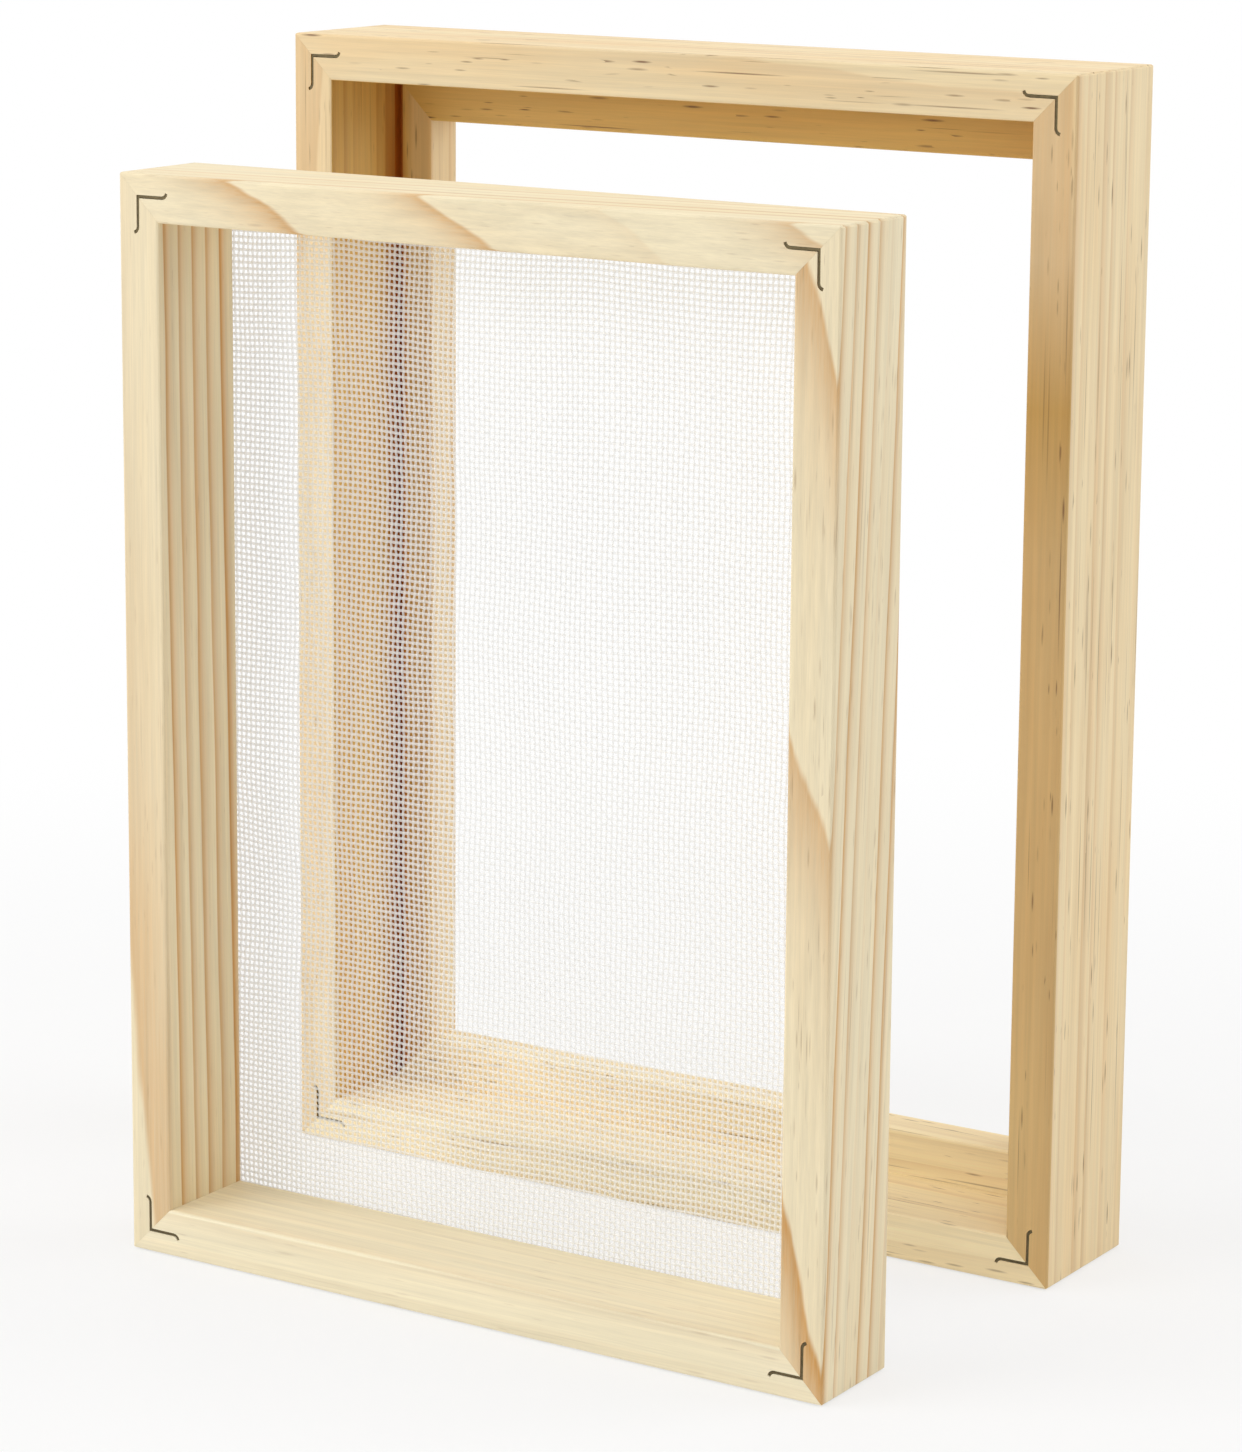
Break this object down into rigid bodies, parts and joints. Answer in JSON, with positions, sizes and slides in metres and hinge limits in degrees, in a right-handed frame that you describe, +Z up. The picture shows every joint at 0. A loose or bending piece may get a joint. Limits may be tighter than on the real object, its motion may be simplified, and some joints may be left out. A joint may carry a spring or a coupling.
{
  "type": "papermaking mould and deckle",
  "caption": "Papermaker's mould and deckle: nesting mitred pine frames on edge, the mould with a woven screen stapled across its rear face.",
  "frame": {"origin": "on the floor, midway under the standing pair: centred between the deckle's sides, and between the mould's front face and the deckle's rear face", "axes": "+Z up, +Y from the mould in front to the deckle behind, square to both frames, +X to the right seen from the front"},
  "size_m": [0.193, 0.118, 0.253],
  "materials": {
    "mould_pine": "bare planed pine, pale cream with faint grain",
    "deckle_pine": "bare planed pine, warmer, with dark resin flecks",
    "nail_steel": "dark oiled spring steel strip",
    "staple_steel": "galvanised wire",
    "screen_thread": "white woven synthetic thread"
  },
  "bodies": {
    "deckle": {"deckle_bottom_batten": "deckle_pine", "deckle_right_batten": "deckle_pine", "deckle_top_batten": "deckle_pine", "deckle_left_batten": "deckle_pine", "deckle_v_nail_bottom_left": "nail_steel", "deckle_v_nail_bottom_right": "nail_steel", "deckle_v_nail_top_right": "nail_steel", "deckle_v_nail_top_left": "nail_steel"},
    "mould": {"mould_bottom_batten": "mould_pine", "mould_right_batten": "mould_pine", "mould_top_batten": "mould_pine", "mould_left_batten": "mould_pine", "mould_v_nail_bottom_left": "nail_steel", "mould_v_nail_bottom_right": "nail_steel", "mould_v_nail_top_right": "nail_steel", "mould_v_nail_top_left": "nail_steel", "screen_net": "screen_thread", "staple_bottom_1": "staple_steel", "staple_bottom_2": "staple_steel", "staple_bottom_3": "staple_steel", "staple_bottom_4": "staple_steel", "staple_right_1": "staple_steel", "staple_right_2": "staple_steel", "staple_right_3": "staple_steel", "staple_right_4": "staple_steel", "staple_right_5": "staple_steel", "staple_top_1": "staple_steel", "staple_top_2": "staple_steel", "staple_top_3": "staple_steel", "staple_top_4": "staple_steel", "staple_left_1": "staple_steel", "staple_left_2": "staple_steel", "staple_left_3": "staple_steel", "staple_left_4": "staple_steel", "staple_left_5": "staple_steel"}
  },
  "joints": [
    {"name": "mould_into_deckle", "type": "slide", "parent": "deckle", "child": "mould", "axis": [-0.0899, 0.981, 0.1721], "range_m": [0, 0.073]}
  ]
}
